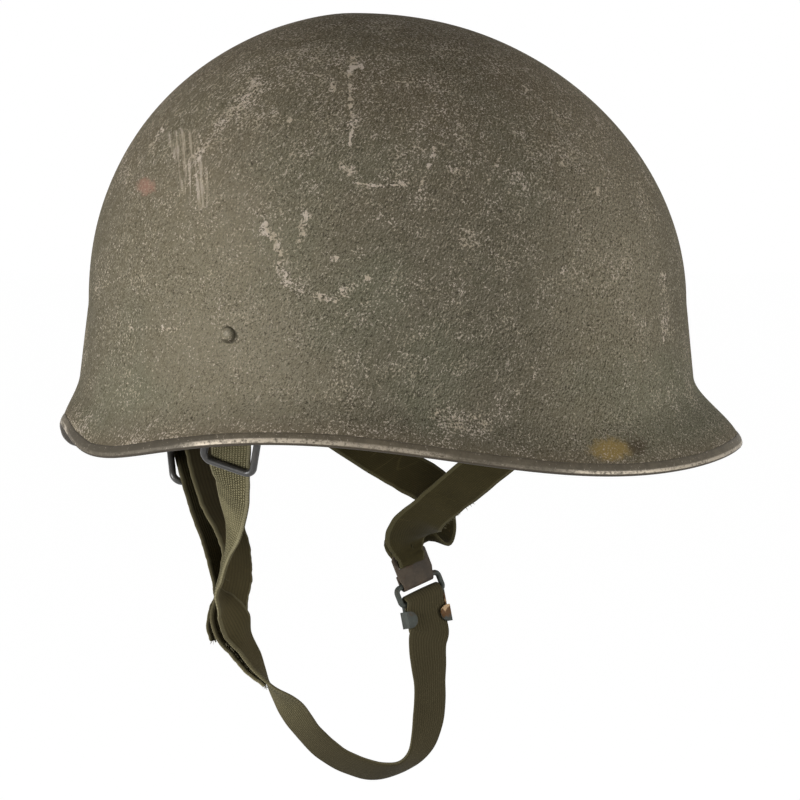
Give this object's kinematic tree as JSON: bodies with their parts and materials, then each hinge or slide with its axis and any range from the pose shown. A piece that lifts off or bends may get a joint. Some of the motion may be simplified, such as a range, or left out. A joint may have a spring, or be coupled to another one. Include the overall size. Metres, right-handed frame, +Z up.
{
  "type": "steel helmet",
  "caption": "One-piece mid-century steel helmet with a flared rim, riveted leather liner and an olive webbing harness with slide rings and buckle.",
  "frame": {"origin": "centre of the headband at the height of its middle, where a head holds the helmet", "axes": "-X to the visor, -Y to the wearer's left, +Z up"},
  "size_m": [0.2843, 0.2346, 0.3197],
  "materials": {
    "shell_paint": "gritty sand paint, chipped and scuffed",
    "edging_paint": "worn to a lighter upper line",
    "rivet_paint": "painted over",
    "dark_wire": "black lacquer, worn",
    "buckle_steel": "blued steel with brass showing at one ear",
    "plate_steel": "dull, brownish",
    "liner_steel": "grey green primer",
    "bare_steel": "satin",
    "brass": "dull",
    "leather": "smooth, aged",
    "felt": "felt",
    "lace": "cotton cord",
    "webbing": "olive webbing, coarse on one face, smooth on the other"
  },
  "bodies": {
    "root": {"shell": "shell_paint", "rim_edging": "edging_paint", "side_rivet_left": "rivet_paint", "side_rivet_right": "rivet_paint", "anchor_plate_left": "plate_steel", "anchor_plate_right": "plate_steel", "crown_stud": "bare_steel", "crown_pad": "felt", "liner_cross": "liner_steel", "crown_washer": "bare_steel", "crown_nut": "brass", "liner_hoop": "liner_steel", "arm_rivets": "bare_steel", "sweatband": "leather", "crown_tongues": "leather", "sweatband_rivets": "brass", "tongue_lace": "lace", "chin_strap": "webbing", "inner_strap_right": "webbing", "ring_strap_right": "webbing", "nape_strap": "webbing", "nape_rivet_left": "bare_steel", "nape_rivet_right": "bare_steel", "hook_plate": "plate_steel"},
    "ring_left": {"ring_left": "dark_wire"},
    "ring_right": {"ring_right": "dark_wire"},
    "chin_buckle": {"chin_buckle": "buckle_steel"}
  },
  "joints": [
    {"name": "ring_left_slide", "type": "slide", "parent": "root", "child": "ring_left", "axis": [0.0577, 0.7113, -0.7005], "range_m": [-0.014, 0.002]},
    {"name": "ring_right_slide", "type": "slide", "parent": "root", "child": "ring_right", "axis": [0.1359, -0.7109, -0.69], "range_m": [-0.014, 0.002]},
    {"name": "buckle_tilt", "type": "hinge", "parent": "root", "child": "chin_buckle", "pos_m": [0.0132, 0, -0.1155], "axis": [0.8691, 0.3596, 0.3396], "range_deg": [-20, 20], "deforming": ["chin_strap"]}
  ]
}
